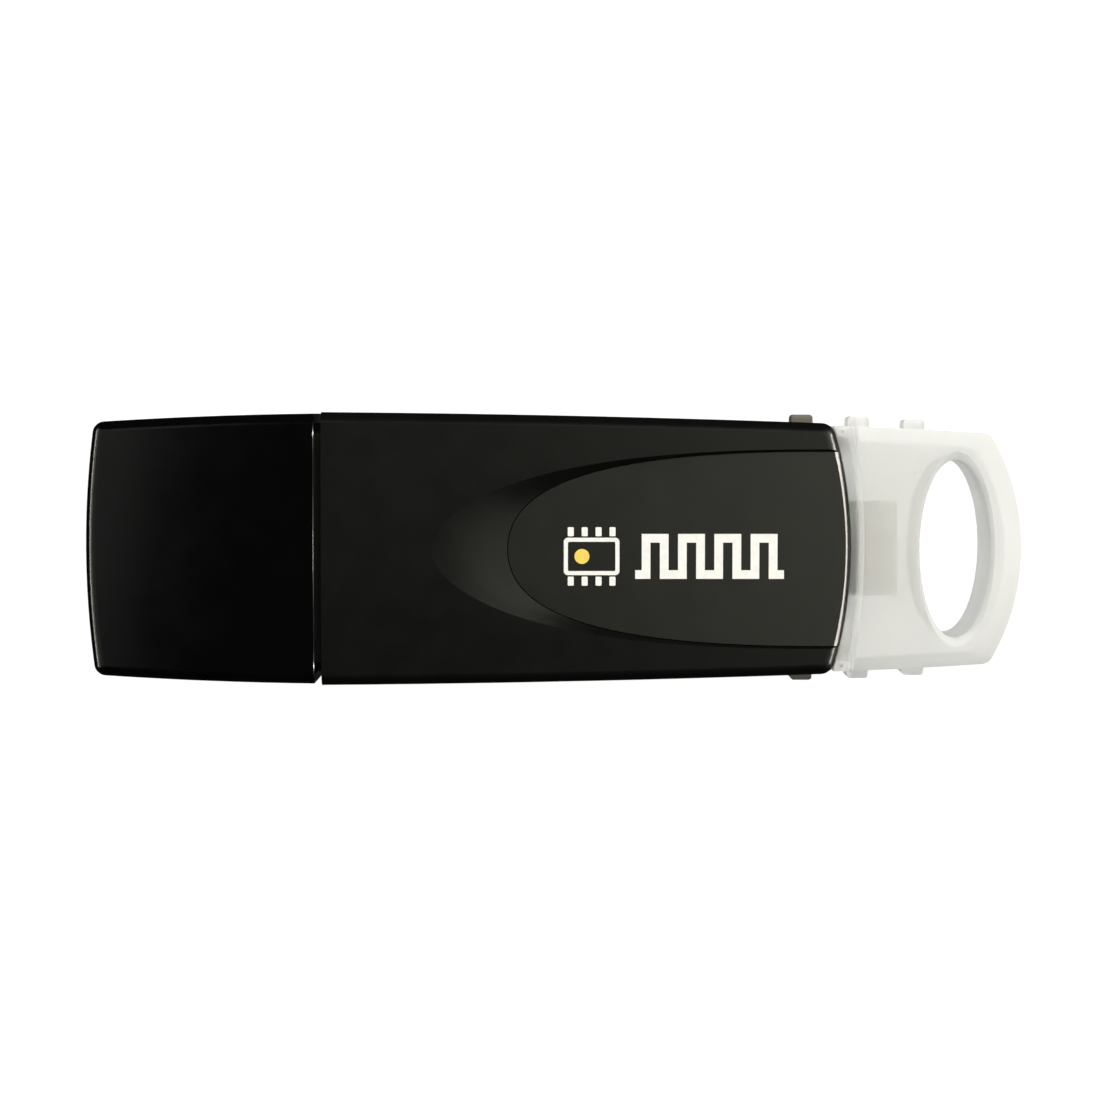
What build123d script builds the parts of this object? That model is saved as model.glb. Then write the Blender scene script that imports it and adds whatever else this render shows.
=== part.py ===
"""USB microcontroller programmer: a capped USB stick with a translucent lanyard tail.

Frame: X runs along the stick from the cap (-X) to the tail (+X), Y across it, Z up.
The origin is under the middle of the stick, on the surface that it lies on.
All lengths are millimetres.
"""
from build123d import *
import math
import os

# ---- Driving dimensions -------------------------------------------------------------------
# Height levels, from the flat underside
THICKNESS = 9.4
MID_Z = THICKNESS / 2
WALL = 1.35
FLOOR_Z = 1.2
CEILING_Z = 7.1
EDGE_ROUND = 0.9
SEAM = 0.14

# How far cutting shapes run past what they cut
OVERRUN = 1.0

# Radii of the slightly crowned top: across all of it, and along the cap towards its tip
CROWN_R = 240.0
CAP_CROWN_R = 420.0
CROWN_REACH = 15.0

# Housing, from its front face to the bowed end that meets the tail
BODY_FRONT_X = -19.2
BODY_END_X = 24.65
BODY_FRONT_HALF = 11.32
BODY_END_HALF = 10.38
BODY_END_BOW = 1.6
BODY_SIDE_BOW = 0.16
BODY_CORNER = 1.25
FRONT_WALL = 0.8
BOARD_RIBS_X = (-11.5, 3.5, 16.6)
RIB_THICK = 0.8
RIB_REACH = 0.3

# Neck that the cap slides over
NECK_FRONT_X = -23.1
NECK_HALF = 10.25
NECK_INSET_Z = 1.0
BULKHEAD = 1.0
NECK_FLOOR_Z = 2.2
NECK_ROOM = 5.0

# Cap
CAP_TIP_X = -38.75
CAP_RIM_X = -19.8
CAP_TIP_HALF = 10.5
CAP_RIM_HALF = 11.2
CAP_TIP_BOW = 0.7
CAP_SIDE_BOW = 0.12
CAP_CORNER = 1.0
CAP_RIM_CHAMFER = 0.06
SOCKET_HALF = 10.4
SOCKET_INSET_Z = 0.85
SOCKET_END_X = -23.25
CAVITY_HALF = 9.3
CAVITY_INSET_Z = 1.35
CAVITY_END_X = -37.3

# Panel let into the thumb scoop. Each outline is a curve with a blunt nose: x of its tip, how
# blunt it is, the x and half-width that it steers towards, and its half-width at the end
PANEL_CURVE = (-3.75, 4.7, 1.85, 8.8, 7.9)
SCOOP_CURVE = (-10.05, 4.85, -1.95, 9.15, 8.35)
SCOOP_PAST = 4.0
PANEL_DEPTH = 0.5
PANEL_THICK = 1.0
PANEL_GAP = 0.08
PANEL_END_SLOPE = (0.48, 0.32)
PANEL_END_ROUND = 0.42

# Tail with the lanyard hole
TAIL_FRONT_X = 25.15
TAIL_TIP_X = 38.75
TAIL_FRONT_HALF = 10.16
TAIL_TIP_HALF = 9.55
TAIL_FRONT_BOW = 0.95
TAIL_TIP_BOW = 2.65
TAIL_SIDE_BOW = 0.05
TAIL_CORNER = 1.1
TAIL_INSET_Z = 0.3
TAIL_BEVEL = 1.15
TAIL_TIP_BEVEL = 1.5
TAIL_BEVEL_DROP = 0.7
BEVEL_ROUND = 0.5
BEAD = 0.55
BEAD_HEIGHT = 0.12
BAND_INSET_Z = 0.85
BAND_HALF = 10.12
BAND_BACK = 3.0
BAND_FIT = 0.03
HOLE_X = 33.27
HOLE_LONG = 7.37
HOLE_SHORT = 2.96
HOLE_FLARE = ((-0.1, 0.92, 0.3), (0.35, 0.26, 0.07), (1.1, -0.03, -0.03))
TAB_LONG = 0.8
TAB_WIDE = 0.85
TAB_HIGH = 0.45
TAB_REACH = 0.7
TAB_SLOT = (0.25, 0.22)
CHEEK_START_X = 19.2
CHEEK_HALF = 8.85
CHEEK_GAP = 0.1
CHEEK_INNER = 8.0
SLOT_HALF = 3.95
SLOT_END_X = 28.6
SLOT_INSET_Z = 2.5

# Pegs that stake the panel, and ribs in the cap that guide it over the plug
PANEL_PEGS_X = (2.0, 19.0)
PANEL_PEG_R = 0.9
PEG_GAP = 0.05
CAP_RIB_Y = 7.0
CAP_RIB_THICK = 0.8
CAP_RIB_LONG = 10.0
CAP_RIB_SINK = 0.1

# Latch arms, whose nubs stand out through windows in the housing's sides
NUB_X = 20.75
NUB_LONG = 1.75
NUB_TIP = 11.12
NUB_HIGH = 2.9
NUB_ROUND = 0.3
FIXED_NUBS_X = (25.45, 30.1)
NUB_PROUD = 0.82
LATCH_PIVOT_X = 23.9
LATCH_PIVOT_Y = 8.375
LATCH_KNUCKLE = 0.7
LATCH_PIN_R = 0.35
LATCH_PIN_LONG = 0.5
LATCH_FIT = 0.05
LATCH_THICK = 0.85
LATCH_TIP_X = 19.45
LATCH_GAP = 0.15
LATCH_SWING = 0.6
LATCH_ROOM = 0.5

# Circuit board
BOARD_TOP_Z = 4.2
BOARD_THICK = 1.0
BOARD_FRONT_X = -18.0
BOARD_SHOULDER_X = 18.4
BOARD_END_X = 28.5
BOARD_HALF = 8.6
TONGUE_HALF = 3.9
PLUG_NOTCH_END_X = -13.4
POSTS_X = (-5.6, 12.4)
POST_Y = 8.35
POST_R = 1.0
PIN_R = 0.5
PIN_HIGH = 1.4
PIN_FIT = 0.04
PIN_ROOM = 0.2
NOTCH_R = 1.3
NOTCH_PLAY = 0.3
BOARD_CORNER = 0.4

# Standard USB type A plug
PLUG_MOUTH_X = -35.1
PLUG_REAR_X = -15.6
PLUG_WIDE = 12.0
PLUG_HIGH = 4.5
PLUG_SHEET = 0.3
PLUG_CORNER = 0.6
PLUG_GAP = 0.06
PLUG_FLOOR_Z = MID_Z - PLUG_HIGH / 2
TONGUE_THICK = 1.85
TONGUE_REAR_X = -25.2
TONGUE_CHAMFER = 0.3
TONGUE_SETBACK = 0.5
TONGUE_PLAY = 0.02
PLUG_WINDOW_BACK = 6.2
PLUG_WINDOW_Y = 2.9
PLUG_WINDOW = (2.0, 2.4)
CONTACT_WIDE = 1.0
CONTACT_THICK = 0.2
CONTACTS = ((-3.5, -34.0), (-1.0, -33.0), (1.0, -33.0), (3.5, -34.0))
CONTACT_FOOT_X = -12.3
CONTACT_BEND = 0.6
EAR_X = -16.5
EAR_LONG = 1.6
EAR_OUT = 1.5
PRONG_INSET = 0.3
PRONG_OUT = 0.3

# Parts on the board: centres are x, y from the origin
LEAD_SHEET = 0.15
LEAD_BENDS = (0.25, 0.35, 0.5, 0.6)
CHIP_STAND = 0.1
CHIP_CHAMFER = 0.12
DIMPLE_INSET = 0.75
DIMPLE_R = 0.28
DIMPLE_DEEP = 0.12
END_CAP_OVER = (0.04, 0.03)
PASSIVE_SIZE = (1.6, 0.8, 0.45)
RESISTORS = [(-3.1, y, 90) for y in (-6.0, -3.6, -1.2, 1.2, 3.6, 6.0)]
RESISTORS += [(20.3, 2.2, 0), (20.3, 0.6, 0)]
CAPACITORS = [(12.4, -1.0, 0), (12.4, 0.6, 0), (12.4, 2.2, 0), (-13.9, 7.6, 0), (17.6, -0.6, 90)]
TANTALUM_AT = (-10.2, 6.2, 0)
TANTALUM_SIZE = (3.5, 2.8, 1.9)
FUSE_AT = (-10.0, -6.3, 0)
FUSE_SIZE = (4.5, 3.2, 0.7)
CRYSTAL_AT = (14.8, 5.0)
CRYSTAL_SIZE = (5.0, 3.2, 1.1)
CRYSTAL_BASE_HIGH = 0.65
CRYSTAL_CORNER = 0.3
CRYSTAL_LID_INSET = 0.25
CRYSTAL_LID_ROUND = 0.15
LED_SIZE = (1.25, 2.0, 0.4)
LED_LENS = (1.05, 1.2, 0.4)
LED_ROUND = 0.12
HEADER_X = (26.1, 27.95)
HEADER_Y = (-3.75, 1.75)
HEADER_HIGH = 2.6
HEADER_FLOOR = 0.9
HEADER_WALL = 0.35
HEADER_KEY = (0.6, 1.1, 1.8)
HEADER_KEY_INSET = 0.2
HEADER_KEY_SINK = 0.1
HEADER_PINS = 5
HEADER_PITCH = 1.0
HEADER_PIN = 0.3
HEADER_PIN_BELOW = 0.4
HEADER_FOOT_INSET = 0.15

os.makedirs("parts", exist_ok=True)


def save(piece, name):
    """Label one finished piece and write it to its own file."""
    piece.label = name
    export_step(piece, f"parts/{name}.step")


# ---- Outlines shared by several pieces -----------------------------------------------------
def plan(x0, half0, bow0, x1, half1, bow1, side_bow):
    """Plan outline between two ends; a bow is how far an edge stands out at its middle."""
    left_x = x0 + bow0
    right_x = x1 - bow1
    middle_x = (left_x + right_x) / 2
    middle_half = (half0 + half1) / 2 + side_bow
    with BuildSketch() as outline:
        with BuildLine():
            bowed((left_x, half0), (middle_x, middle_half), (right_x, half1), side_bow)
            bowed((right_x, half1), (x1, 0), (right_x, -half1), bow1)
            bowed((right_x, -half1), (middle_x, -middle_half), (left_x, -half0), side_bow)
            bowed((left_x, -half0), (x0, 0), (left_x, half0), bow0)
        make_face()
    return outline.sketch


def bowed(start, middle, end, bow):
    """Edge from start to end: an arc through middle, or a straight line if it has no bow."""
    if bow:
        return ThreePointArc(start, middle, end)
    return Line(start, end)


def between(start, end, share):
    """Number that lies this share of the way from start to end."""
    return start + share * (end - start)


def scooped_plan(spread, z, grow=0.0):
    """Outline with a blunt nose; spread runs from 0 at the panel to 1 at the scoop's rim."""
    tip_x, blunt, steer_x, steer_half, end_half = [
        between(inner, outer, spread) for inner, outer in zip(PANEL_CURVE, SCOOP_CURVE)]
    past_end_x = BODY_END_X + SCOOP_PAST
    tip_x -= grow
    with BuildSketch(Plane.XY.offset(z)) as outline:
        with BuildLine():
            for side in (-1, 1):
                Bezier((tip_x, 0), (tip_x, side * (blunt + grow)),
                       (steer_x, side * (steer_half + grow)), (past_end_x, side * (end_half + grow)))
            Line((past_end_x, -end_half - grow), (past_end_x, end_half + grow))
        make_face()
    return outline.sketch


def body_plan(extra=0.0):
    """Plan outline of the housing, optionally a little longer at its bowed end."""
    return plan(BODY_FRONT_X, BODY_FRONT_HALF, 0, BODY_END_X + extra,
                BODY_END_HALF, BODY_END_BOW, BODY_SIDE_BOW)


def crown_section(x):
    """Section across the stick at x whose top is slightly crowned."""
    side_z = THICKNESS - CROWN_R + math.sqrt(CROWN_R ** 2 - CROWN_REACH ** 2)
    with BuildSketch(Plane.YZ.offset(x)) as section:
        with BuildLine():
            ThreePointArc((-CROWN_REACH, side_z), (0, THICKNESS), (CROWN_REACH, side_z))
            Polyline((CROWN_REACH, side_z), (CROWN_REACH, -OVERRUN), (-CROWN_REACH, -OVERRUN),
                     (-CROWN_REACH, side_z))
        make_face()
    return section.sketch


def nub_block(x, inner, outer, side):
    """One rounded nub that stands out of a long side, from inner to outer distance from the middle."""
    with BuildPart() as nub:
        with Locations((x, side * (inner + outer) / 2, MID_Z)):
            Box(NUB_LONG, outer - inner, NUB_HIGH)
        tip = nub.faces().sort_by(Axis.Y)[-1 if side > 0 else 0]
        fillet(tip.edges(), NUB_ROUND)
    return nub.part


# ---- Housing shells ------------------------------------------------------------------------
def housing_block():
    """Outer form of both shells together: bowed body with rounded edges, and the stepped neck."""
    with BuildPart() as block:
        extrude(body_plan(), amount=THICKNESS)
        fillet(block.edges().filter_by(Axis.Z).group_by(Axis.X)[-1], BODY_CORNER)
        extrude(crown_section(BODY_FRONT_X - OVERRUN), amount=BODY_END_X - BODY_FRONT_X + 2 * OVERRUN,
                mode=Mode.INTERSECT)
        for level in (-1, 0):
            rim = block.faces().sort_by(Axis.Z)[level].edges()
            fillet(rim.sort_by(Axis.X)[1:], EDGE_ROUND)
        with BuildSketch(Plane.YZ.offset(NECK_FRONT_X)):
            with Locations((0, MID_Z)):
                RectangleRounded(2 * NECK_HALF, THICKNESS - 2 * NECK_INSET_Z, EDGE_ROUND)
        extrude(amount=BODY_FRONT_X - NECK_FRONT_X + BULKHEAD / 2)
    return block.part


def housing_hollow():
    """All that is open inside the two shells, with the plug's hole and the latch windows."""
    room = plan(BODY_FRONT_X + FRONT_WALL, BODY_FRONT_HALF - WALL, 0, BODY_END_X + 3 * OVERRUN,
                CHEEK_HALF, 0, BODY_SIDE_BOW)
    swing_room = NUB_LONG + LATCH_SWING + LATCH_GAP
    with BuildPart() as hollow:
        extrude(room, amount=CEILING_Z - FLOOR_Z)
        hollow.part.position = (0, 0, FLOOR_Z)
    with BuildPart() as space:
        add(hollow.part)
        with Locations((NECK_FRONT_X + BULKHEAD, 0, NECK_FLOOR_Z)):
            Box(NECK_ROOM, 2 * (NECK_HALF - WALL), CEILING_Z - NECK_FLOOR_Z,
                align=(Align.MIN, Align.CENTER, Align.MIN))
        with Locations((NECK_FRONT_X - OVERRUN, 0, MID_Z)):
            Box(NECK_ROOM, PLUG_WIDE + 2 * PLUG_GAP, PLUG_HIGH + 2 * PLUG_GAP,
                align=(Align.MIN, Align.CENTER, Align.CENTER))
        with Locations((NUB_X + NUB_LONG / 2 + LATCH_GAP, 0, MID_Z)):
            Box(swing_room, 4 * NUB_TIP, NUB_HIGH + 2 * LATCH_GAP,
                align=(Align.MAX, Align.CENTER, Align.CENTER))
    return space.part


def seam_ring():
    """Shallow groove around the housing where the two shells meet."""
    with BuildPart() as ring:
        extrude(body_plan(), amount=SEAM)
        extrude(plan(BODY_FRONT_X - OVERRUN, BODY_FRONT_HALF - SEAM, 0, BODY_END_X + OVERRUN,
                     BODY_END_HALF - SEAM, BODY_END_BOW, BODY_SIDE_BOW),
                amount=SEAM, mode=Mode.SUBTRACT)
        ring.part.position = (0, 0, MID_Z - SEAM / 2)
    return ring.part


def make_bottom_shell(block, hollow, groove):
    """Lower shell: floor, board ribs, and posts whose pins fit the upper shell."""
    ledge_z = BOARD_TOP_Z - BOARD_THICK
    with BuildPart() as bottom_shell:
        add(block)
        split(bisect_by=Plane.XY.offset(MID_Z), keep=Keep.BOTTOM)
        add(hollow, mode=Mode.SUBTRACT)
        add(groove, mode=Mode.SUBTRACT)
        for x in BOARD_RIBS_X:
            with Locations((x, 0, FLOOR_Z)):
                Box(RIB_THICK, 2 * (BOARD_HALF + RIB_REACH), ledge_z - FLOOR_Z,
                    align=(Align.CENTER, Align.CENTER, Align.MIN))
        with Locations([(x, side * POST_Y, FLOOR_Z) for x in POSTS_X for side in (-1, 1)]):
            Cylinder(POST_R, MID_Z - FLOOR_Z, align=(Align.CENTER, Align.CENTER, Align.MIN))
            Cylinder(PIN_R, MID_Z - FLOOR_Z + PIN_HIGH,
                     align=(Align.CENTER, Align.CENTER, Align.MIN))
    save(bottom_shell.part, "bottom_shell")


def make_top_shell(block, hollow, groove):
    """Upper shell: thumb scoop, seat for the panel, and sockets for the lower shell's pins."""
    seat_z = THICKNESS - PANEL_DEPTH - PANEL_THICK
    scoop_levels = ((0.0, 1.0), (0.3, 0.57), (0.65, 0.18), (1.0, 0.0), (1.3, -0.06))
    sections = [scooped_plan(spread, THICKNESS - PANEL_DEPTH * share)
                for spread, share in scoop_levels]
    with BuildPart() as top_shell:
        add(block)
        split(bisect_by=Plane.XY.offset(MID_Z), keep=Keep.TOP)
        add(hollow, mode=Mode.SUBTRACT)
        add(groove, mode=Mode.SUBTRACT)
        loft(sections, mode=Mode.SUBTRACT)
        extrude(scooped_plan(0, seat_z, PANEL_GAP), amount=PANEL_DEPTH + PANEL_THICK,
                mode=Mode.SUBTRACT)
        with Locations([(x, 0, CEILING_Z) for x in PANEL_PEGS_X]):
            Cylinder(PANEL_PEG_R + PANEL_GAP, 2 * (seat_z - CEILING_Z), mode=Mode.SUBTRACT)
        with Locations([(x, side * POST_Y, MID_Z) for x in POSTS_X for side in (-1, 1)]):
            Cylinder(POST_R, CEILING_Z - MID_Z, align=(Align.CENTER, Align.CENTER, Align.MIN))
            Cylinder(PIN_R + PIN_FIT, PIN_HIGH + PIN_ROOM,
                     align=(Align.CENTER, Align.CENTER, Align.MIN), mode=Mode.SUBTRACT)
    save(top_shell.part, "top_shell")


def make_badge_panel():
    """Smooth panel in the scoop, with a bevelled end at the housing's end and two staking pegs."""
    seat_z = THICKNESS - PANEL_DEPTH - PANEL_THICK
    run, drop = PANEL_END_SLOPE
    with BuildPart() as badge_panel:
        extrude(scooped_plan(0, seat_z), amount=PANEL_THICK)
        extrude(body_plan(), amount=THICKNESS, mode=Mode.INTERSECT)
        top = badge_panel.faces().filter_by(Axis.Z).sort_by(Axis.Z)[-1]
        chamfer(top.edges().sort_by(Axis.X)[-1], run, drop, reference=top)
        end_edges = badge_panel.faces().sort_by(Axis.X)[-1].edges()
        fillet(end_edges.sort_by(Axis.Z)[-1], PANEL_END_ROUND)
        with Locations([(x, 0, seat_z) for x in PANEL_PEGS_X]):
            Cylinder(PANEL_PEG_R, seat_z - CEILING_Z - PEG_GAP,
                     align=(Align.CENTER, Align.CENTER, Align.MAX))
    save(badge_panel.part, "badge_panel")


# ---- Cap -----------------------------------------------------------------------------------
def make_cap():
    """Push-on cap: bowed tip, a socket for the neck, and a deeper hollow for the plug."""
    outline = plan(CAP_TIP_X, CAP_TIP_HALF, CAP_TIP_BOW, CAP_RIM_X, CAP_RIM_HALF, 0, CAP_SIDE_BOW)
    crown_axis = Axis((CAP_RIM_X, 0, THICKNESS - CAP_CROWN_R), (0, -1, 0))
    crown_turn = math.degrees((CAP_RIM_X - CAP_TIP_X + OVERRUN) / CAP_CROWN_R)
    with BuildPart() as cap:
        extrude(outline, amount=THICKNESS)
        fillet(cap.edges().filter_by(Axis.Z).group_by(Axis.X)[0], CAP_CORNER)
        revolve(crown_section(CAP_RIM_X), crown_axis, crown_turn, mode=Mode.INTERSECT)
        for level in (-1, 0):
            rim = cap.faces().sort_by(Axis.Z)[level].edges()
            fillet(rim.sort_by(Axis.X)[:-1], EDGE_ROUND)
        mouth = cap.faces().filter_by(Axis.X).sort_by(Axis.X)[-1]
        chamfer(mouth.edges(), CAP_RIM_CHAMFER)
        with BuildSketch(Plane.YZ.offset(CAP_RIM_X)):
            with Locations((0, MID_Z)):
                RectangleRounded(2 * SOCKET_HALF, THICKNESS - 2 * SOCKET_INSET_Z, EDGE_ROUND)
        extrude(amount=SOCKET_END_X - CAP_RIM_X, mode=Mode.SUBTRACT)
        with BuildSketch(Plane.YZ.offset(CAP_RIM_X)):
            with Locations((0, MID_Z)):
                RectangleRounded(2 * CAVITY_HALF, THICKNESS - 2 * CAVITY_INSET_Z, EDGE_ROUND)
        extrude(amount=CAVITY_END_X - CAP_RIM_X, mode=Mode.SUBTRACT)
        with Locations([(CAVITY_END_X - CAP_RIB_SINK, side * CAP_RIB_Y, MID_Z) for side in (-1, 1)]):
            Box(CAP_RIB_LONG, CAP_RIB_THICK, THICKNESS - 2 * (CAVITY_INSET_Z - CAP_RIB_SINK),
                align=(Align.MIN, Align.CENTER, Align.CENTER))
    save(cap.part, "cap")


# ---- Tail and its latch arms ---------------------------------------------------------------
def tail_outline(front_x, z, inset=0.0, tip_inset=0.0):
    """Tail's plan outline from front_x to the bowed tip, drawn in at its sides and its tip."""
    with BuildSketch(Plane.XY.offset(z)) as outline:
        add(plan(front_x, TAIL_FRONT_HALF - inset, -TAIL_FRONT_BOW, TAIL_TIP_X - tip_inset,
                 TAIL_TIP_HALF - inset, TAIL_TIP_BOW, TAIL_SIDE_BOW))
        fillet(outline.vertices().group_by(Axis.X)[-1], TAIL_CORNER)
    return outline.sketch


def tail_bevel(z_wide, z_narrow):
    """Bevelled layer of the tail between its full outline and its flat face."""
    with BuildPart() as layer:
        loft([tail_outline(TAIL_FRONT_X, z_wide),
              tail_outline(TAIL_FRONT_X, z_narrow, TAIL_BEVEL, TAIL_TIP_BEVEL)], ruled=True)
    return layer.part


def tail_block():
    """Bevelled block behind the bead, with the lanyard hole that flares at both faces."""
    low_z = TAIL_INSET_Z
    high_z = THICKNESS - TAIL_INSET_Z
    upper = tail_bevel(high_z - TAIL_BEVEL_DROP, high_z)
    lower = tail_bevel(low_z + TAIL_BEVEL_DROP, low_z)
    with BuildPart() as block:
        extrude(tail_outline(TAIL_FRONT_X, low_z + TAIL_BEVEL_DROP),
                amount=high_z - low_z - 2 * TAIL_BEVEL_DROP)
        add(upper)
        add(lower)
        extrude(tail_outline(TAIL_FRONT_X + BEAD, 0), amount=THICKNESS, mode=Mode.INTERSECT)
        for level in (-1, 0):
            face = block.faces().filter_by(Axis.Z).sort_by(Axis.Z)[level]
            fillet(face.edges().sort_by(Axis.X)[1:], BEVEL_ROUND)
        extrude(hole_outline(0, 0, 0), amount=THICKNESS, mode=Mode.SUBTRACT)
        for face_z, inward in ((high_z, -1), (low_z, 1)):
            loft([hole_outline(face_z + inward * depth, long_grow, short_grow)
                  for depth, long_grow, short_grow in HOLE_FLARE], mode=Mode.SUBTRACT)
    return block.part


def hole_outline(z, long_grow, short_grow):
    """Outline of the lanyard hole at one height, grown along its two half-axes."""
    with BuildSketch(Plane.XY.offset(z)) as outline:
        with Locations((HOLE_X, 0)):
            Ellipse(HOLE_SHORT + short_grow, HOLE_LONG + long_grow)
    return outline.sketch


def tail_bead():
    """Thin raised rim along the tail's front edge."""
    with BuildPart() as bead:
        extrude(plan(TAIL_FRONT_X, TAIL_FRONT_HALF, -TAIL_FRONT_BOW, TAIL_FRONT_X + BEAD,
                     TAIL_FRONT_HALF, TAIL_FRONT_BOW, 0),
                amount=THICKNESS - 2 * (TAIL_INSET_Z - BEAD_HEIGHT))
        fillet(bead.edges(), BEAD / 3)
        bead.part.position = (0, 0, TAIL_INSET_Z - BEAD_HEIGHT)
    return bead.part


def tail_band():
    """Lower band between the bead and the housing's bowed end, with a small tab at each corner."""
    band_high = THICKNESS - 2 * BAND_INSET_Z
    with BuildPart() as band:
        with Locations((TAIL_FRONT_X - BAND_BACK, 0, BAND_INSET_Z)):
            Box(BAND_BACK + BEAD, 2 * BAND_HALF, band_high,
                align=(Align.MIN, Align.CENTER, Align.MIN))
        corners = [(TAIL_FRONT_X - TAIL_FRONT_BOW, side * BAND_HALF) for side in (-1, 1)]
        for x, y in corners:
            with Locations((x - TAB_LONG / 2, y - math.copysign(TAB_WIDE / 2, y), MID_Z)):
                Box(TAB_LONG + TAB_REACH, TAB_WIDE, band_high + 2 * TAB_HIGH)
        extrude(plan(0, BAND_HALF + OVERRUN, 0, TAIL_FRONT_X + BEAD / 2, BAND_HALF + OVERRUN,
                     TAIL_FRONT_BOW, 0), amount=THICKNESS, mode=Mode.INTERSECT)
        extrude(body_plan(BAND_FIT), amount=THICKNESS, mode=Mode.SUBTRACT)
        for x, y in corners:
            with Locations((x - TAB_LONG / 2, y - math.copysign(TAB_WIDE / 2, y),
                            MID_Z + band_high / 2 + TAB_HIGH / 2)):
                Box(*TAB_SLOT, TAB_HIGH, mode=Mode.SUBTRACT)
    return band.part


def make_tail():
    """Milky tail: block, bead, band, side nubs, a slot for the board, cheeks in the housing."""
    block = tail_block()
    bead = tail_bead()
    band = tail_band()
    nubs = [nub_block(x, CHEEK_INNER + OVERRUN, tail_half(x) + NUB_PROUD, side)
            for x in FIXED_NUBS_X for side in (-1, 1)]
    cheek_long = TAIL_FRONT_X - CHEEK_START_X
    cheek_low_z = FLOOR_Z + CHEEK_GAP
    cheek_high = CEILING_Z - FLOOR_Z - 2 * CHEEK_GAP
    latch_room_high = NUB_HIGH + 2 * LATCH_GAP
    slot_start_x = TAIL_FRONT_X - BAND_BACK
    with BuildPart() as tail:
        add(block)
        add(bead)
        add(band)
        add(nubs)
        with Locations((slot_start_x, 0, MID_Z)):
            Box(SLOT_END_X - slot_start_x, 2 * SLOT_HALF, THICKNESS - 2 * SLOT_INSET_Z,
                align=(Align.MIN, Align.CENTER, Align.CENTER), mode=Mode.SUBTRACT)
        for side in (-1, 1):
            with Locations((CHEEK_START_X, side * (CHEEK_INNER + CHEEK_HALF) / 2, cheek_low_z)):
                Box(cheek_long, CHEEK_HALF - CHEEK_INNER, cheek_high,
                    align=(Align.MIN, Align.CENTER, Align.MIN))
            with Locations((LATCH_PIVOT_X, side * LATCH_PIVOT_Y, MID_Z)):
                Box(LATCH_PIVOT_X - CHEEK_START_X + OVERRUN, LATCH_THICK + LATCH_ROOM, latch_room_high,
                    align=(Align.MAX, Align.CENTER, Align.CENTER), mode=Mode.SUBTRACT)
                Cylinder(LATCH_KNUCKLE + LATCH_GAP, latch_room_high, mode=Mode.SUBTRACT)
                Cylinder(LATCH_PIN_R + LATCH_FIT, latch_room_high + 2 * LATCH_PIN_LONG,
                         mode=Mode.SUBTRACT)
    save(tail.part, "tail")


def tail_half(x):
    """Half the tail's width at x."""
    along = (x - TAIL_FRONT_X) / (TAIL_TIP_X - TAIL_TIP_BOW - TAIL_FRONT_X)
    return TAIL_FRONT_HALF + along * (TAIL_TIP_HALF - TAIL_FRONT_HALF)


def make_latch_arm(side, name):
    """Latch arm: round knuckle with pin ends, a flat arm, and the nub that the finger presses."""
    nub = nub_block(NUB_X, LATCH_PIVOT_Y, NUB_TIP, side)
    with BuildPart() as arm:
        with Locations((LATCH_PIVOT_X, side * LATCH_PIVOT_Y, MID_Z)):
            Cylinder(LATCH_KNUCKLE, NUB_HIGH)
            Cylinder(LATCH_PIN_R, NUB_HIGH + 2 * LATCH_PIN_LONG)
            Box(LATCH_PIVOT_X - LATCH_TIP_X, LATCH_THICK, NUB_HIGH,
                align=(Align.MAX, Align.CENTER, Align.CENTER))
        add(nub)
    save(arm.part, name)


# ---- USB plug ------------------------------------------------------------------------------
def contact_bars():
    """Four flat contacts on the plug's tongue, each stepping down to a foot on the board."""
    strip_z = PLUG_FLOOR_Z + PLUG_SHEET + TONGUE_THICK
    bend_x = PLUG_REAR_X + CONTACT_BEND
    with BuildPart() as bars:
        for y, start_x in CONTACTS:
            with Locations((start_x, y, strip_z)):
                Box(bend_x - start_x, CONTACT_WIDE, CONTACT_THICK,
                    align=(Align.MIN, Align.CENTER, Align.MAX))
            with Locations((bend_x, y, BOARD_TOP_Z)):
                Box(CONTACT_THICK, CONTACT_WIDE, strip_z - BOARD_TOP_Z,
                    align=(Align.MAX, Align.CENTER, Align.MIN))
                Box(CONTACT_FOOT_X - bend_x, CONTACT_WIDE, CONTACT_THICK,
                    align=(Align.MIN, Align.CENTER, Align.MIN))
    return bars.part


def make_plug_insulator(bars):
    """Plastic block at the plug's rear with the tongue that carries the contacts."""
    front_x = PLUG_MOUTH_X + TONGUE_SETBACK
    play = 2 * (PLUG_SHEET + TONGUE_PLAY)
    with BuildPart() as insulator:
        with BuildSketch(Plane.YZ.offset(front_x)):
            with Locations((0, MID_Z)):
                RectangleRounded(PLUG_WIDE - play, PLUG_HIGH - play, PLUG_CORNER - PLUG_SHEET)
        extrude(amount=PLUG_REAR_X - front_x)
        with Locations((front_x, 0, PLUG_FLOOR_Z + PLUG_SHEET + TONGUE_THICK)):
            Box(TONGUE_REAR_X - front_x, PLUG_WIDE, PLUG_HIGH,
                align=(Align.MIN, Align.CENTER, Align.MIN), mode=Mode.SUBTRACT)
        chamfer(insulator.faces().sort_by(Axis.X)[0].edges().sort_by(Axis.Z)[-1], TONGUE_CHAMFER)
        add(bars, mode=Mode.SUBTRACT)
    save(insulator.part, "usb_plug_insulator")


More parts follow.
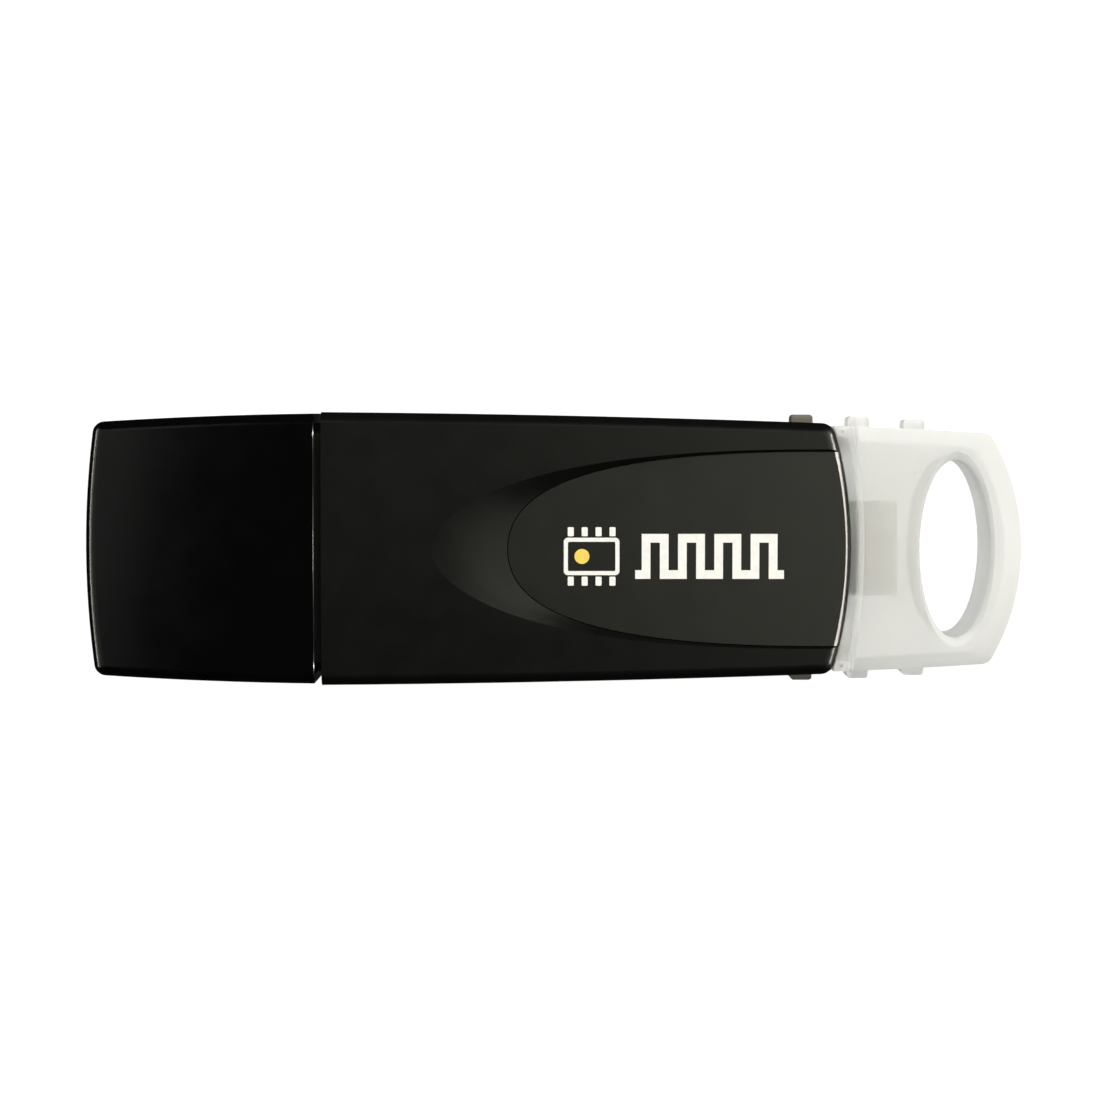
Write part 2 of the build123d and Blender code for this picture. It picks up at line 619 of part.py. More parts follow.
def make_plug_shell():
    """Folded steel shell of the plug: four latch windows, and ears soldered to the board."""
    with BuildPart() as plug_shell:
        with BuildSketch(Plane.YZ.offset(PLUG_MOUTH_X)):
            with Locations((0, MID_Z)):
                RectangleRounded(PLUG_WIDE, PLUG_HIGH, PLUG_CORNER)
                RectangleRounded(PLUG_WIDE - 2 * PLUG_SHEET, PLUG_HIGH - 2 * PLUG_SHEET,
                                 PLUG_CORNER - PLUG_SHEET, mode=Mode.SUBTRACT)
        extrude(amount=PLUG_REAR_X - PLUG_MOUTH_X)
        with Locations([(PLUG_MOUTH_X + PLUG_WINDOW_BACK, side * PLUG_WINDOW_Y, MID_Z)
                        for side in (-1, 1)]):
            Box(*PLUG_WINDOW, PLUG_HIGH + 1, mode=Mode.SUBTRACT)
        for side in (-1, 1):
            with Locations((EAR_X, side * (PLUG_WIDE / 2 - PLUG_SHEET / 2), BOARD_TOP_Z)):
                Box(EAR_LONG, side_reach(EAR_OUT), PLUG_SHEET,
                    align=(Align.CENTER, Align.MIN if side > 0 else Align.MAX, Align.MIN))
            with Locations((EAR_X, side * (PLUG_WIDE / 2 + EAR_OUT - PRONG_INSET), BOARD_TOP_Z)):
                Box(EAR_LONG / 2, PLUG_SHEET, BOARD_THICK + PRONG_OUT,
                    align=(Align.CENTER, Align.CENTER, Align.MAX))
    save(plug_shell.part, "usb_plug_shell")


def side_reach(out):
    """Length of an ear that starts in the shell's sheet and ends this far outside it."""
    return out + PLUG_SHEET / 2


# ---- Circuit board and what is on it -------------------------------------------------------
def make_circuit_board():
    """Board with a notch for the plug, cut-outs for the posts, and a narrow tongue for the tail."""
    with BuildPart() as circuit_board:
        with BuildSketch(Plane.XY.offset(BOARD_TOP_Z - BOARD_THICK)):
            with Locations((BOARD_FRONT_X, 0)):
                Rectangle(BOARD_SHOULDER_X - BOARD_FRONT_X, 2 * BOARD_HALF,
                          align=(Align.MIN, Align.CENTER))
                Rectangle(BOARD_END_X - BOARD_FRONT_X, 2 * TONGUE_HALF,
                          align=(Align.MIN, Align.CENTER))
                Rectangle(PLUG_NOTCH_END_X - BOARD_FRONT_X, PLUG_WIDE + NOTCH_PLAY,
                          align=(Align.MIN, Align.CENTER), mode=Mode.SUBTRACT)
            with Locations([(x, side * POST_Y) for x in POSTS_X for side in (-1, 1)]):
                Circle(NOTCH_R, mode=Mode.SUBTRACT)
            with Locations([(EAR_X, side * (PLUG_WIDE / 2 + EAR_OUT - PRONG_INSET))
                            for side in (-1, 1)]):
                Rectangle(EAR_LONG / 2 + NOTCH_PLAY, PLUG_SHEET + NOTCH_PLAY, mode=Mode.SUBTRACT)
        extrude(amount=BOARD_THICK)
        corners = circuit_board.edges().filter_by(Axis.Z).group_by(Axis.X)
        fillet(corners[-1], BOARD_CORNER)
    save(circuit_board.part, "circuit_board")


def gull_wing(reach, high, wide):
    """One bent lead that starts at the origin, points along +X and ends in a foot on the board."""
    inner_top, outer_top, inner_foot, outer_foot = [share * reach for share in LEAD_BENDS]
    with BuildPart() as lead:
        with BuildSketch(Plane.XZ):
            with BuildLine():
                Polyline((0, high), (outer_top, high), (outer_foot, LEAD_SHEET),
                         (reach, LEAD_SHEET), (reach, 0), (inner_foot, 0),
                         (inner_top, high - LEAD_SHEET), (0, high - LEAD_SHEET), close=True)
            make_face()
        extrude(amount=wide / 2, both=True)
    return lead.part


def make_chip(name, centre, size, rows, lead):
    """Chip body with a chamfered top and a first-pin dimple, and its leads as a second node.

    rows lists (angle, number of leads, pitch); lead is (reach, height, width).
    """
    x, y = centre
    long, wide, high = size
    body_z = BOARD_TOP_Z + CHIP_STAND
    with BuildPart() as chip:
        with Locations((x, y, body_z)):
            Box(long, wide, high, align=(Align.CENTER, Align.CENTER, Align.MIN))
        chamfer(chip.edges().group_by(Axis.Z)[-1], CHIP_CHAMFER)
        with Locations((x - long / 2 + DIMPLE_INSET, y - wide / 2 + DIMPLE_INSET, body_z + high)):
            Cylinder(DIMPLE_R, 2 * DIMPLE_DEEP, mode=Mode.SUBTRACT)
    save(chip.part, name)
    one_lead = gull_wing(*lead)
    with BuildPart() as leads:
        for angle, count, pitch in rows:
            out = (long if angle % 180 == 0 else wide) / 2
            turn = math.radians(angle)
            for step in range(count):
                along = (step - (count - 1) / 2) * pitch
                spot = (x + out * math.cos(turn) - along * math.sin(turn),
                        y + out * math.sin(turn) + along * math.cos(turn), BOARD_TOP_Z)
                with Locations(Location(spot, (0, 0, angle))):
                    add(one_lead)
    save(leads.part, f"{name}_leads")


def end_capped(name, spots, size, cap_long):
    """Group of small two-ended parts: a body with a metal cap at each end, turned as listed."""
    long, wide, high = size
    with BuildPart() as group:
        for x, y, angle in spots:
            with Locations(Location((x, y, BOARD_TOP_Z), (0, 0, angle))):
                Box(long - 2 * cap_long, wide, high,
                    align=(Align.CENTER, Align.CENTER, Align.MIN))
                with Locations((cap_long / 2 - long / 2, 0), (long / 2 - cap_long / 2, 0)):
                    Box(cap_long, wide + END_CAP_OVER[0], high + END_CAP_OVER[1],
                        align=(Align.CENTER, Align.CENTER, Align.MIN))
    save(group.part, name)


def make_crystal():
    """Crystal: a ceramic base with a metal lid seam-welded to it."""
    x, y = CRYSTAL_AT
    long, wide, high = CRYSTAL_SIZE
    with BuildPart() as crystal:
        with Locations((x, y, BOARD_TOP_Z)):
            Box(long, wide, CRYSTAL_BASE_HIGH, align=(Align.CENTER, Align.CENTER, Align.MIN))
        fillet(crystal.edges().filter_by(Axis.Z), CRYSTAL_CORNER)
        with Locations((x, y, BOARD_TOP_Z + CRYSTAL_BASE_HIGH)):
            Box(long - 2 * CRYSTAL_LID_INSET, wide - 2 * CRYSTAL_LID_INSET, high - CRYSTAL_BASE_HIGH,
                align=(Align.CENTER, Align.CENTER, Align.MIN))
        fillet(crystal.edges().group_by(Axis.Z)[-1], CRYSTAL_LID_ROUND)
    save(crystal.part, "crystal")


def make_led(x, y, name):
    """Small light: a flat base with a raised lens."""
    with BuildPart() as led:
        with Locations((x, y, BOARD_TOP_Z)):
            Box(*LED_SIZE, align=(Align.CENTER, Align.CENTER, Align.MIN))
        with Locations((x, y, BOARD_TOP_Z + LED_SIZE[2])):
            Box(*LED_LENS, align=(Align.CENTER, Align.CENTER, Align.MIN))
        fillet(led.edges().group_by(Axis.Z)[-1], LED_ROUND)
    save(led.part, name)


def header_pin_group():
    """Row of square pins, each with a flat foot that runs out under the header's side."""
    middle_x = sum(HEADER_X) / 2
    middle_y = sum(HEADER_Y) / 2
    with BuildPart() as pins:
        for step in range(HEADER_PINS):
            y = middle_y + (step - (HEADER_PINS - 1) / 2) * HEADER_PITCH
            with Locations((middle_x, y, BOARD_TOP_Z)):
                Box(HEADER_PIN, HEADER_PIN, HEADER_HIGH - HEADER_PIN_BELOW,
                    align=(Align.CENTER, Align.CENTER, Align.MIN))
                Box(BOARD_END_X - HEADER_FOOT_INSET - middle_x, HEADER_PIN, LEAD_SHEET,
                    align=(Align.MIN, Align.CENTER, Align.MIN))
    return pins.part


def make_programming_header(pins):
    """Cream connector on the board's tongue: an open box with a key on one end."""
    x0, x1 = HEADER_X
    y0, y1 = HEADER_Y
    with BuildPart() as header:
        with Locations((x0, y0, BOARD_TOP_Z)):
            Box(x1 - x0, y1 - y0, HEADER_HIGH, align=Align.MIN)
        with Locations((x0 + HEADER_WALL, y0 + HEADER_WALL, BOARD_TOP_Z + HEADER_FLOOR)):
            Box(x1 - x0 - 2 * HEADER_WALL, y1 - y0 - 2 * HEADER_WALL, HEADER_HIGH,
                align=Align.MIN, mode=Mode.SUBTRACT)
        with Locations((x0 + HEADER_KEY_INSET, y1 - HEADER_KEY_SINK, BOARD_TOP_Z)):
            Box(*HEADER_KEY, align=Align.MIN)
        add(pins, mode=Mode.SUBTRACT)
    save(header.part, "programming_header")
    save(pins, "header_pins")


# ---- The whole assembly --------------------------------------------------------------------
shell_block = housing_block()
shell_hollow = housing_hollow()
shell_groove = seam_ring()
make_bottom_shell(shell_block, shell_hollow, shell_groove)
make_top_shell(shell_block, shell_hollow, shell_groove)
make_badge_panel()
make_cap()
make_tail()
make_latch_arm(1, "latch_arm_left")
make_latch_arm(-1, "latch_arm_right")

contacts = contact_bars()
save(contacts, "usb_plug_contacts")
make_plug_insulator(contacts)
make_plug_shell()

make_circuit_board()
four_sides = [(angle, 11, 0.8) for angle in (0, 90, 180, 270)]
make_chip("microcontroller", (4.4, 0), (10, 10, 1.0), four_sides, (1.0, 0.6, 0.37))
make_chip("interface_chip", (-7.6, 0), (3.9, 8.65, 1.5), [(0, 7, 1.27), (180, 7, 1.27)],
          (1.0, 0.8, 0.42))
make_chip("memory_chip", (23.9, -1.0), (3.0, 3.0, 0.85), [(90, 4, 0.65), (270, 4, 0.65)],
          (0.9, 0.5, 0.3))
make_chip("voltage_regulator", (15.6, -4.4), (2.5, 4.5, 1.5), [(0, 1, 1.5), (180, 3, 1.5)],
          (0.8, 0.5, 0.5))
make_crystal()
end_capped("tantalum_capacitor", [TANTALUM_AT], TANTALUM_SIZE, 0.4)
end_capped("resettable_fuse", [FUSE_AT], FUSE_SIZE, 0.5)
end_capped("chip_resistors", RESISTORS, PASSIVE_SIZE, 0.3)
end_capped("chip_capacitors", CAPACITORS, PASSIVE_SIZE, 0.4)
make_led(22.0, 2.7, "power_light")
make_led(27.8, 2.8, "activity_light")
make_programming_header(header_pin_group())
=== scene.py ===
"""Looks of the capped USB programmer stick: materials, panel print, stage, light and camera.

Everything is in metres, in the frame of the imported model.
"""
import math

import bmesh
import bpy
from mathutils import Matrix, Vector


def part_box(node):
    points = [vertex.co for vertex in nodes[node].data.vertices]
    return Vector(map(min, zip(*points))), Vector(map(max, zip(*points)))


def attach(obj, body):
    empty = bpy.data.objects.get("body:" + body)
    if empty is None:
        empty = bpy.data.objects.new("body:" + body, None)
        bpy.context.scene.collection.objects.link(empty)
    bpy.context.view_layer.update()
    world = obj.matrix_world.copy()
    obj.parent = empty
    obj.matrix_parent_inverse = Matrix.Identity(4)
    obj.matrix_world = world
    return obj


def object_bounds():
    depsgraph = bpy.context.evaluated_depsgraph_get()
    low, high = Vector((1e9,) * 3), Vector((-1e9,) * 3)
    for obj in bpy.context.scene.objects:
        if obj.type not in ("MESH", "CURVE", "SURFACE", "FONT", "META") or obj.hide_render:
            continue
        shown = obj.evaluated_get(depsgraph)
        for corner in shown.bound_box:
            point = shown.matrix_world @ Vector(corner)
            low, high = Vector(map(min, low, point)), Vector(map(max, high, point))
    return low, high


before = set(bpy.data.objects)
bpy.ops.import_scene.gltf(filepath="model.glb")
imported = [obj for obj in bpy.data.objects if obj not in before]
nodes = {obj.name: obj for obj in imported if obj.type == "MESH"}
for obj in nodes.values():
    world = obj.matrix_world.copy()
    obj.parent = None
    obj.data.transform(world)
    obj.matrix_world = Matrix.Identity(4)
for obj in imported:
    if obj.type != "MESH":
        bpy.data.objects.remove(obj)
cad_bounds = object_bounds()
MM = 0.001
# Most of a noise texture's values lie between these two.
NOISE_LOW, NOISE_HIGH = 0.3, 0.7


# ---- Material helpers ----------------------------------------------------------------------
def shade(color, factor):
    """The colour made darker or brighter."""
    return tuple(min(1.0, channel * factor) for channel in color)


class Shader:
    """One node material: a Principled shader, with short calls that add texture to it."""

    def __init__(self, name, color, roughness, **sockets):
        self.material = bpy.data.materials.new(name)
        self.material.use_nodes = True
        self.tree = self.material.node_tree
        self.bsdf = self.tree.nodes["Principled BSDF"]
        self.bsdf.inputs["Base Color"].default_value = (*color, 1)
        self.bsdf.inputs["Roughness"].default_value = roughness
        for socket, value in sockets.items():
            self.bsdf.inputs[socket.replace("_", " ")].default_value = value
        self.coordinates = self.add("ShaderNodeTexCoord").outputs["Object"]

    def add(self, kind, **settings):
        node = self.tree.nodes.new(kind)
        for key, value in settings.items():
            setattr(node, key, value)
        return node

    def link(self, source, target):
        self.tree.links.new(source, target)

    def along_x(self):
        """Place along the stick, in metres."""
        split = self.add("ShaderNodeSeparateXYZ")
        self.link(self.coordinates, split.inputs["Vector"])
        return split.outputs["X"]

    def scaled(self, scale):
        """Object coordinates scaled by a different amount along each axis."""
        mapping = self.add("ShaderNodeMapping")
        mapping.inputs["Scale"].default_value = scale
        self.link(self.coordinates, mapping.inputs["Vector"])
        return mapping.outputs["Vector"]

    def noise(self, size, detail=2.0, scale=(1, 1, 1)):
        """Noise with blobs about size metres across; a scale under 1 lengthens them along that axis."""
        texture = self.add("ShaderNodeTexNoise")
        texture.inputs["Scale"].default_value = 1 / size
        texture.inputs["Detail"].default_value = detail
        self.link(self.scaled(scale), texture.inputs["Vector"])
        return texture.outputs["Fac"]

    def ramp(self, value, stops):
        """Colour ramp over a value; stops are (position, colour)."""
        node = self.add("ShaderNodeValToRGB")
        for index, (position, color) in enumerate(stops):
            if index < 2:
                element = node.color_ramp.elements[index]
                element.position = position
            else:
                element = node.color_ramp.elements.new(position)
            element.color = (*color, 1)
        self.link(value, node.inputs["Fac"])
        return node.outputs["Color"]

    def spread(self, value, low, high, start=NOISE_LOW, end=NOISE_HIGH):
        """Map a value from start..end onto low..high."""
        node = self.add("ShaderNodeMapRange")
        node.inputs["From Min"].default_value = start
        node.inputs["From Max"].default_value = end
        node.inputs["To Min"].default_value = low
        node.inputs["To Max"].default_value = high
        self.link(value, node.inputs["Value"])
        return node.outputs["Result"]

    def color_from(self, value, stops):
        self.link(self.ramp(value, stops), self.bsdf.inputs["Base Color"])

    def mottled(self, value, color, dark, bright):
        """Base colour that varies with a noise from dark to bright times the given colour."""
        self.color_from(value, [(NOISE_LOW, shade(color, dark)), (NOISE_HIGH, shade(color, bright))])

    def rough_from(self, value, low, high):
        self.link(self.spread(value, low, high), self.bsdf.inputs["Roughness"])

    def bump_from(self, value, height):
        """Bump with its height in metres."""
        node = self.add("ShaderNodeBump")
        node.inputs["Distance"].default_value = height
        self.link(value, node.inputs["Height"])
        self.link(node.outputs["Normal"], self.bsdf.inputs["Normal"])


# ---- Materials -----------------------------------------------------------------------------
def black_plastic(name, color, roughness, grain, gloss=0.3):
    """Moulded black plastic: fine spark-eroded grain, faint mottling and uneven gloss."""
    shader = Shader(name, color, roughness, IOR=1.5, Specular_IOR_Level=gloss)
    shader.mottled(shader.noise(4 * MM, 4), color, 0.85, 1.15)
    shader.rough_from(shader.noise(2.5 * MM, 5), roughness - 0.015, roughness + 0.02)
    shader.bump_from(shader.noise(0.16 * MM, 3), grain)
    return shader.material


def milky_plastic():
    """Milky translucent plastic of the tail: part scatters light, part lets the board show through.

    It is clearest in the thin band next to the housing, and less clear in the solid tail.
    """
    milk, bright_milk = (0.765, 0.775, 0.775), (0.81, 0.815, 0.805)
    shader = Shader("milky_plastic", milk, 0.31, IOR=1.15, Specular_IOR_Level=0.2,
                    Subsurface_Weight=0.6, Subsurface_Scale=3 * MM, Subsurface_Radius=(1.0, 1.0, 0.9))
    shader.color_from(shader.noise(6 * MM, 3), [(NOISE_LOW, milk), (NOISE_HIGH, bright_milk)])
    shader.rough_from(shader.noise(1.2 * MM, 4), 0.29, 0.33)
    shader.bump_from(shader.noise(0.5 * MM, 2), 0.001 * MM)
    start_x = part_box("circuit_board")[1].x - 5.0 * MM
    end_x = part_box("tail")[1].x
    # Millimetres from start_x towards the tail's end, and how clear the plastic is there.
    places = [
        (0.9, 0.35), (1.1, 0.72), (1.6, 0.72),   # thin band next to the housing
        (1.75, 0.38), (2.15, 0.38),              # bead at the tail's front
        (2.35, 0.50), (5.0, 0.50), (8.0, 0.56),  # solid tail
    ]
    stops = [(place * MM / (end_x - start_x), (clear, clear, clear)) for place, clear in places]
    clearness = shader.ramp(shader.spread(shader.along_x(), 0.0, 1.0, start_x, end_x), stops)
    shader.link(clearness, shader.bsdf.inputs["Transmission Weight"])
    return shader.material


def smoky_plastic():
    """The tail's milky plastic, darkened with painted shade where it lies inside the black shell, and milky
    at its root.
    """
    painted_shade, milk = (0.15, 0.14, 0.115), (0.62, 0.62, 0.58)
    shader = Shader("smoky_plastic", painted_shade, 0.35, IOR=1.4)
    root_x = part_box("latch_arm_left")[1].x - 1.5 * MM
    fade = 0.6 * MM
    # Painted shade: dark where the black shell covers the arm, fading to the milky colour at its root.
    along_fade = shader.spread(shader.along_x(), 0.0, 1.0, root_x - fade, root_x)
    shader.color_from(along_fade, [(0.0, painted_shade), (1.0, milk)])
    shader.bump_from(shader.noise(0.2 * MM, 2), 0.003 * MM)
    return shader.material


def circuit_green():
    """Solder mask over copper: darker ground, paler straight tracks, and glossy unevenness."""
    shader = Shader("circuit_green", (0.05, 0.16, 0.07), 0.3, IOR=1.5, Coat_Weight=0.4)
    tracks = shader.add("ShaderNodeTexBrick", offset=0.37, squash=0.6)
    tracks.inputs["Scale"].default_value = 1.0
    tracks.inputs["Brick Width"].default_value = 3.2 * MM
    tracks.inputs["Row Height"].default_value = 0.7 * MM
    tracks.inputs["Mortar Size"].default_value = 0.11 * MM
    tracks.inputs["Mortar Smooth"].default_value = 0.2
    tracks.inputs["Color1"].default_value = (0.055, 0.20, 0.070, 1)
    tracks.inputs["Color2"].default_value = (0.070, 0.24, 0.085, 1)
    tracks.inputs["Mortar"].default_value = (0.16, 0.38, 0.14, 1)
    shader.link(shader.coordinates, tracks.inputs["Vector"])
    shader.link(tracks.outputs["Color"], shader.bsdf.inputs["Base Color"])
    shader.rough_from(shader.noise(1.0 * MM, 3), 0.29, 0.38)
    shader.bump_from(tracks.outputs["Fac"], 0.02 * MM)
    return shader.material


def metal(name, color, roughness, scale=(1, 1, 1)):
    """Plated metal with a drawn or tumbled grain."""
    shader = Shader(name, color, roughness, Metallic=1.0)
    grain = shader.noise(0.25 * MM, 4, scale)
    shader.mottled(grain, color, 0.86, 1.06)
    shader.rough_from(grain, roughness - 0.03, roughness + 0.05)
    shader.bump_from(grain, 0.003 * MM)
    return shader.material


def moulded(name, color, roughness=0.45, size=1.2 * MM, **sockets):
    """Small moulded or pressed piece: even colour with slight mottling and a fine grain."""
    shader = Shader(name, color, roughness, **sockets)
    shader.mottled(shader.noise(size, 4), color, 0.88, 1.1)
    shader.rough_from(shader.noise(0.6 * MM, 3), roughness - 0.05, roughness + 0.07)
    shader.bump_from(shader.noise(0.12 * MM, 2), 0.003 * MM)
    return shader.material


def dress_cad_nodes():
    """Give every CAD node its material."""
    shell = black_plastic("black_shell", (0.0012, 0.0013, 0.0011), 0.295, 0.003 * MM)
    lead = metal("tinned_lead", (0.74, 0.74, 0.72), 0.33)
    chip = moulded("chip_black", (0.018, 0.018, 0.02), 0.5, 0.5 * MM)
    gold = metal("gold_flash", (0.85, 0.62, 0.26), 0.2)
    looks = {
        "cap": black_plastic("black_cap", (0.0005, 0.0007, 0.0007), 0.15, 0.001 * MM),
        "top_shell": shell,
        "bottom_shell": shell,
        "badge_panel": black_plastic("black_panel", (0.0042, 0.0043, 0.0028), 0.31, 0.001 * MM, 0.5),
        "tail": milky_plastic(),
        "circuit_board": circuit_green(),
        "usb_plug_shell": metal("plated_steel", (0.75, 0.74, 0.71), 0.33, (0.05, 1, 1)),
        "usb_plug_insulator": moulded("white_insulator", (0.8, 0.8, 0.77), 0.4),
        "usb_plug_contacts": gold,
        "header_pins": gold,
        "programming_header": moulded("cream_plastic", (0.80, 0.74, 0.54), 0.42),
        "crystal": metal("crystal_lid", (0.78, 0.75, 0.68), 0.34, (1, 0.1, 1)),
        "tantalum_capacitor": moulded("tantalum_yellow", (0.72, 0.42, 0.06)),
        "resettable_fuse": moulded("fuse_green", (0.06, 0.20, 0.10)),
        "chip_resistors": moulded("resistor_black", (0.03, 0.03, 0.035)),
        "chip_capacitors": moulded("capacitor_tan", (0.42, 0.28, 0.16)),
    }
    shaded_arm_plastic = smoky_plastic()
    lens = moulded("light_lens", (0.85, 0.86, 0.72), 0.2, Transmission_Weight=0.3)
    # The latch arms get the tail's plastic with painted shade where the black shell covers them.
    for name in ("latch_arm_left", "latch_arm_right"):
        looks[name] = shaded_arm_plastic
    for name in ("power_light", "activity_light"):
        looks[name] = lens
    for name in nodes:
        if name.endswith("_leads"):
            looks[name] = lead
        looks.setdefault(name, chip)
        nodes[name].data.materials[0] = looks[name]


# ---- Panel print ---------------------------------------------------------------------------
def plate_from_loops(name, outer, holes, low_z, high_z):
    """Thin flat piece with straight sides, from an outer loop and inner loops of (x, y) points."""
    curve = bpy.data.curves.new(name, "CURVE")
    curve.dimensions = "2D"
    curve.fill_mode = "BOTH"
    curve.extrude = (high_z - low_z) / 2
    for loop in [outer, *holes]:
        spline = curve.splines.new("POLY")
        spline.points.add(len(loop) - 1)
        for point, (x, y) in zip(spline.points, loop):
            point.co = (x, y, 0, 1)
        spline.use_cyclic_u = True
    drawn = bpy.data.objects.new(name, curve)
    drawn.location.z = (low_z + high_z) / 2
    bpy.context.scene.collection.objects.link(drawn)
    bpy.context.view_layer.update()
    mesh = bpy.data.meshes.new_from_object(drawn.evaluated_get(bpy.context.evaluated_depsgraph_get()))
    mesh.transform(drawn.matrix_world)
    bpy.data.objects.remove(drawn)
    piece = bpy.data.objects.new(name, mesh)
    bpy.context.scene.collection.objects.link(piece)
    return piece


def rounded_box(x0, y0, x1, y1, radius, steps=6):
    """Loop of a rectangle with rounded corners."""
    loop = []
    corners = ((x1 - radius, y1 - radius, 0), (x0 + radius, y1 - radius, 90),
               (x0 + radius, y0 + radius, 180), (x1 - radius, y0 + radius, 270))
    for x, y, start in corners:
        for step in range(steps + 1):
            turn = math.radians(start + 90 * step / steps)
            loop.append((x + radius * math.cos(turn), y + radius * math.sin(turn)))
    return loop


def disc(x, y, radius, steps=40):
    """Loop of a round spot."""
    return [(x + radius * math.cos(2 * math.pi * i / steps),
             y + radius * math.sin(2 * math.pi * i / steps)) for i in range(steps)]


def ink(name, color):
    """Pad-printed ink: nearly flat, slightly uneven."""
    shader = Shader(name, color, 0.5)
    shader.mottled(shader.noise(0.5 * MM, 4), color, 0.93, 1.03)
    shader.bump_from(shader.noise(0.1 * MM, 2), 0.002 * MM)
    return shader.material


def square_wave(x, y, periods=4, pitch=3.0 * MM, height=3.0 * MM, thick=0.72 * MM, lead=0.9 * MM):
    """Loop round a thick square-wave line that starts at x with its middle at y."""
    low, high = y - height / 2, y + height / 2
    half = thick / 2
    top = [(x, low + half)]
    bottom = [(x, low - half)]
    for index in range(periods):
        rise = x + lead + index * pitch
        fall = rise + pitch / 2
        top += [(rise - half, low + half), (rise - half, high + half), (fall + half, high + half),
                (fall + half, low + half)]
        bottom += [(rise + half, low - half), (rise + half, high - half), (fall - half, high - half),
                   (fall - half, low - half)]
    top.append((fall + lead, low + half))
    bottom.append((fall + lead, low - half))
    return top + bottom[::-1]


def print_on_panel():
    """Generic print: a chip outline with a yellow dot, and a square wave beside it."""
    panel_low, panel_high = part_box("badge_panel")
    base_z = panel_high.z - 0.004 * MM
    top_z = panel_high.z + 0.012 * MM
    middle_y = -0.6 * MM
    chip_long, chip_half = 4.6 * MM, 1.55 * MM
    chip_x0 = panel_low.x + 4.6 * MM
    chip_x1 = chip_x0 + chip_long
    line = 0.34 * MM
    outer_corner, inner_corner = 0.35 * MM, 0.12 * MM
    pins_per_side = 4
    pin_wide, pin_long = 0.5 * MM, 0.75 * MM
    pin_gap, pin_corner = 0.12 * MM, 0.08 * MM
    dot_inset, dot_radius = 1.5 * MM, 0.62 * MM
    wave_gap = 1.3 * MM
    white = ink("ink_white", (0.93, 0.93, 0.91))
    yellow = ink("ink_yellow", (0.93, 0.68, 0.11))

    def print_piece(name, outer, holes, look):
        piece = plate_from_loops(name, outer, holes, base_z, top_z)
        piece.data.materials.append(look)
        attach(piece, "housing")

    outer = rounded_box(chip_x0, middle_y - chip_half, chip_x1, middle_y + chip_half, outer_corner)
    inner = rounded_box(chip_x0 + line, middle_y - chip_half + line, chip_x1 - line,
                        middle_y + chip_half - line, inner_corner)
    print_piece("print_chip", outer, [inner], white)
    for index in range(pins_per_side):
        x = chip_x0 + (index + 0.5) * chip_long / pins_per_side
        for side, word in ((-1, "low"), (1, "high")):
            near = middle_y + side * (chip_half + pin_gap)
            far = near + side * pin_long
            pin = rounded_box(x - pin_wide / 2, min(near, far), x + pin_wide / 2, max(near, far), pin_corner)
            print_piece(f"print_pin_{index}_{word}", pin, [], white)
    print_piece("print_dot", disc(chip_x0 + dot_inset, middle_y, dot_radius), [], yellow)
    print_piece("print_wave", square_wave(chip_x1 + wave_gap, middle_y), [], white)


# ---- Stage, light and camera ---------------------------------------------------------------
def build_stage():
    """Pale floor under the stick, which doesn't show in the plastic's reflections."""
    half_size = 1.5
    below_stick = 0.02 * MM
    mesh = bpy.data.meshes.new("floor")
    grid = bmesh.new()
    bmesh.ops.create_grid(grid, x_segments=8, y_segments=8, size=half_size)
    grid.to_mesh(mesh)
    grid.free()
    floor = bpy.data.objects.new("floor", mesh)
    floor.location.z = cad_bounds[0][2] - below_stick
    bpy.context.scene.collection.objects.link(floor)
    shader = Shader("floor_white", (0.25, 0.25, 0.248), 0.9, Specular_IOR_Level=0.0,
                    Emission_Color=(1, 1, 1, 1), Emission_Strength=0.92)
    mesh.materials.append(shader.material)
    floor.visible_glossy = False


def softbox(name, place, size, power, color, serves="both"):
    """Rectangular soft light at place, aimed at the stick; it serves gloss, diffuse shading or both."""
    light = bpy.data.lights.new(name, "AREA")
    light.shape = "RECTANGLE"
    light.size, light.size_y = size
    light.energy = power
    light.color = color
    lamp = bpy.data.objects.new(name, light)
    lamp.location = place
    lamp.rotation_euler = (-Vector(place)).to_track_quat("-Z", "Y").to_euler()
    lamp.visible_diffuse = serves != "gloss"
    lamp.visible_transmission = serves != "gloss"
    lamp.visible_glossy = serves != "diffuse"
    bpy.context.scene.collection.objects.link(lamp)


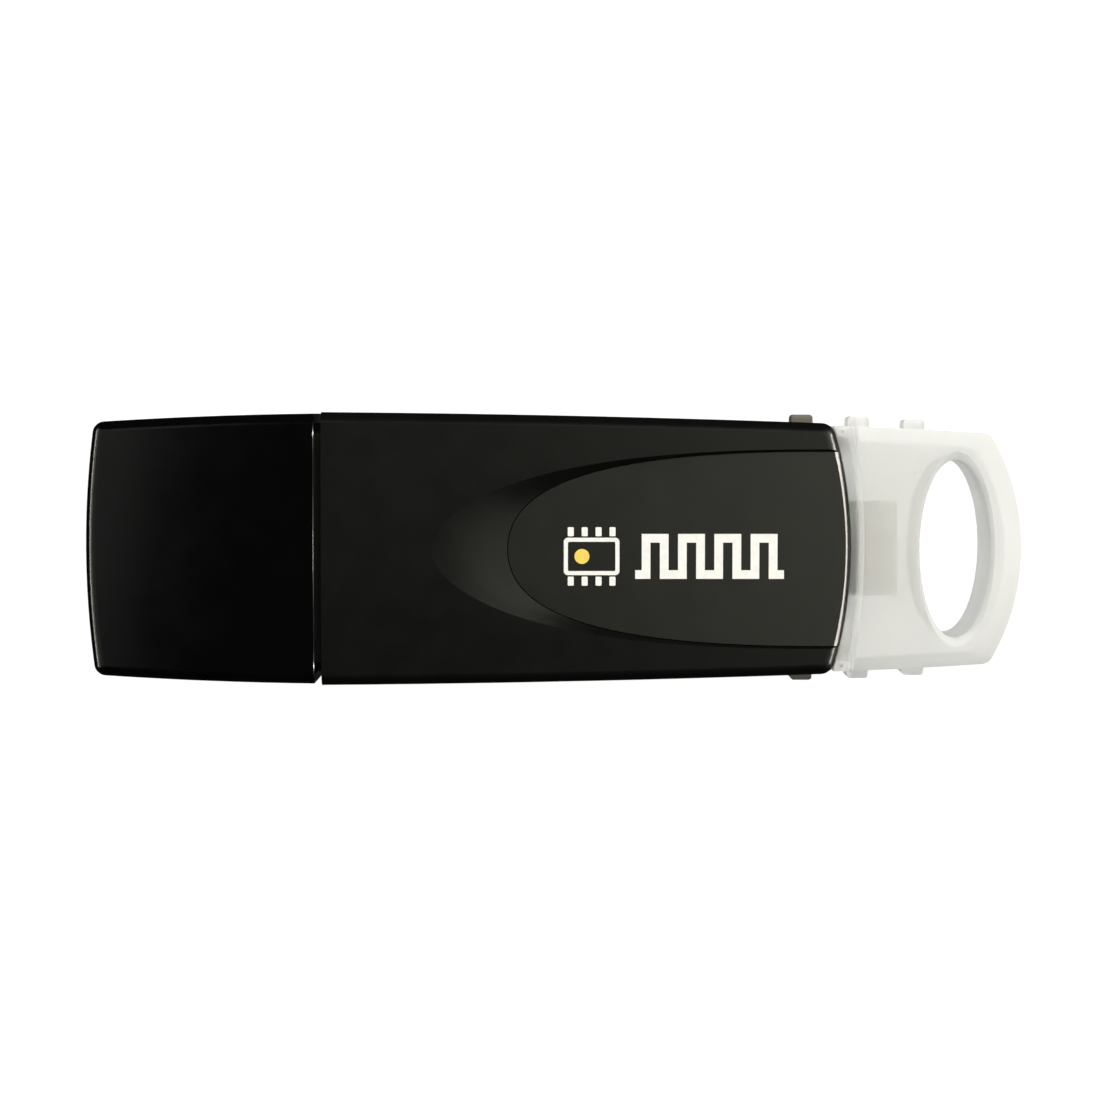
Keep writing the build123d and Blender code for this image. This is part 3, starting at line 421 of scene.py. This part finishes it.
def build_light():
    """Soft tent: bright behind and at both ends, dim in front, with a soft light high on each side.

    The strips and the back sheen serve gloss only, and draw the thin light lines along the edges.
    """
    world = bpy.data.worlds.new("tent")
    world.use_nodes = True
    background = world.node_tree.nodes["Background"]
    background.inputs["Color"].default_value = (1.0, 0.99, 0.96, 1)
    background.inputs["Strength"].default_value = 0.02
    bpy.context.scene.world = world
    # Name, place, size, watts, colour and what it serves.
    softbox("back_light", (0.0, 0.55, 0.28), (1.0, 0.45), 4.0, (1.0, 0.97, 0.92), "diffuse")
    softbox("back_sheen", (0.0, 0.55, 0.28), (1.0, 0.45), 2.8, (1.0, 0.96, 0.88), "gloss")
    softbox("left_light", (-0.55, 0.05, 0.28), (0.7, 0.4), 2.0, (1.0, 0.96, 0.89))
    softbox("right_light", (0.55, 0.05, 0.30), (0.7, 0.4), 2.6, (1.0, 0.96, 0.90))
    softbox("left_strip", (-0.58, 0.0, 0.20), (0.5, 0.05), 1.8, (1.0, 0.93, 0.80), "gloss")
    softbox("right_strip", (0.58, 0.0, 0.24), (0.5, 0.05), 9.0, (1.0, 0.95, 0.85), "gloss")
    softbox("high_right_light", (0.36, 0.14, 0.62), (0.55, 0.7), 1.85, (1.0, 1.0, 0.87))
    softbox("high_left_light", (-0.31, 0.05, 0.60), (0.6, 0.30), 0.35, (1.0, 1.0, 0.95))


def build_camera():
    """Camera above the stick, leaning a little towards +Y, which is up in the picture."""
    distance = 235 * MM
    lean = math.radians(2.75)
    aim = Vector((-0.29 * MM, -0.27 * MM, (cad_bounds[0][2] + cad_bounds[1][2]) / 2))
    data = bpy.data.cameras.new("camera")
    data.sensor_width = 36
    data.lens = 91.4
    data.clip_start = 0.01
    camera = bpy.data.objects.new("camera", data)
    camera.location = aim + distance * Vector((0, math.sin(lean), math.cos(lean)))
    camera.rotation_euler = (-lean, 0, 0)
    bpy.context.scene.collection.objects.link(camera)
    bpy.context.scene.camera = camera


dress_cad_nodes()
print_on_panel()
build_stage()
build_light()
build_camera()
bpy.context.scene.view_settings.view_transform = "Standard"
